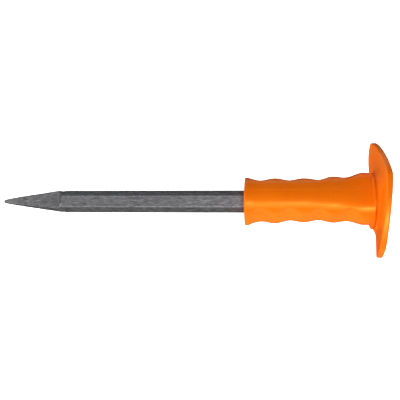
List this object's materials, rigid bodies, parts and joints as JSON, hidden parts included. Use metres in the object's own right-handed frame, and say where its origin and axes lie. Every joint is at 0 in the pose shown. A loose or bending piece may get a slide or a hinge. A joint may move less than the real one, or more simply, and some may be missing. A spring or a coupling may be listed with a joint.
{
  "type": "point chisel",
  "caption": "Hand-struck point chisel: forged hexagon steel bar with a four-sided point, in a moulded orange finger-grooved guard with a shield-shaped flange.",
  "frame": {"origin": "middle of the striking face", "axes": "+X along the bar's axis and out of the striking face, the point is at -X; +Z to the smooth palm side of the guard, the finger grooves face -Z; the flange is widest along Y"},
  "size_m": [0.4, 0.123, 0.0978],
  "materials": {
    "steel": "forged and scaled, oiled dark; ground bright-grey at the tip and the striking face",
    "guard": "glossy moulded soft PVC, orange"
  },
  "bodies": {
    "bar": {"chisel_bar": "steel"},
    "guard": {"hand_guard": "guard"}
  },
  "joints": [
    {"name": "guard_slide", "type": "slide", "parent": "bar", "child": "guard", "axis": [1, 0, 0], "range_m": [0, 0.15]}
  ]
}
